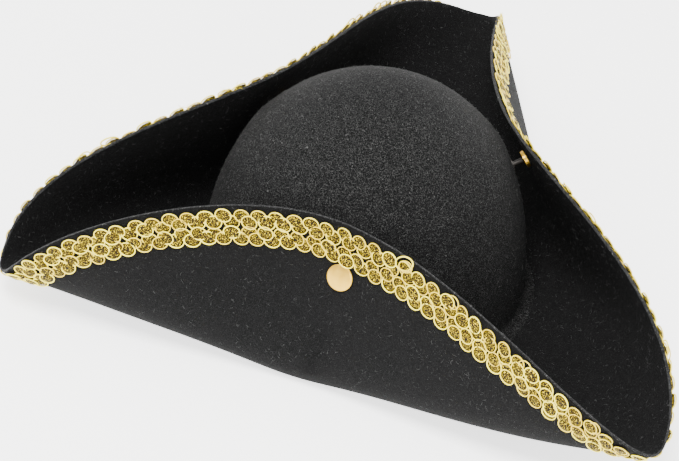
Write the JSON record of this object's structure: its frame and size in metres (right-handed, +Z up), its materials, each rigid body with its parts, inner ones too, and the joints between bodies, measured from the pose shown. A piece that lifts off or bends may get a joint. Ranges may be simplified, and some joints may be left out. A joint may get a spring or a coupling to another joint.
{
  "type": "three-cornered hat",
  "caption": "Black felt hat with a rounded crown and a brim turned up into hinged flaps that press studs hold to the crown, trimmed with looped gold braid",
  "frame": {"origin": "Middle of the crown's oval opening, on the level surface that the hat rests on", "axes": "+Z is up through the crown. -Y is the way the wearer faces, through the front corner. +X is the wearer's left"},
  "size_m": [0.4204, 0.3506, 0.1345],
  "materials": {
    "black_felt": "matt needled felt",
    "gold_braid": "metallic thread braid",
    "gold_metal": "pale gold plated press stud",
    "black_tape": "woven tape"
  },
  "bodies": {
    "hood": {"crown": "black_felt", "brim": "black_felt", "sweatband": "black_tape", "front_braid": "gold_braid", "left_braid": "gold_braid", "right_braid": "gold_braid", "left_stud": "gold_metal", "right_stud": "gold_metal", "back_stud": "gold_metal", "left_post": "gold_metal", "right_post": "gold_metal", "back_post": "gold_metal"},
    "left_side": {"left_flap": "black_felt", "left_braid_upper": "gold_braid", "left_braid_lower": "gold_braid", "left_cap": "gold_metal", "left_socket": "gold_metal"},
    "right_side": {"right_flap": "black_felt", "right_braid_upper": "gold_braid", "right_braid_lower": "gold_braid", "right_cap": "gold_metal", "right_socket": "gold_metal"},
    "back_side": {"back_flap": "black_felt", "back_braid_upper": "gold_braid", "back_braid_lower": "gold_braid", "back_cap": "gold_metal", "back_socket": "gold_metal"}
  },
  "joints": [
    {"name": "left_crease", "type": "hinge", "parent": "hood", "child": "left_side", "pos_m": [0.11245, -0.05283, 0.042], "axis": [0.5274, 0.8496, 0], "range_deg": [0, 75]},
    {"name": "right_crease", "type": "hinge", "parent": "hood", "child": "right_side", "pos_m": [-0.11315, -0.05431, 0.042], "axis": [0.538, -0.8429, 0], "range_deg": [0, 75]},
    {"name": "back_crease", "type": "hinge", "parent": "hood", "child": "back_side", "pos_m": [-0.0018, 0.13218, 0.042], "axis": [-1, -0.0093, 0], "range_deg": [0, 75]}
  ]
}
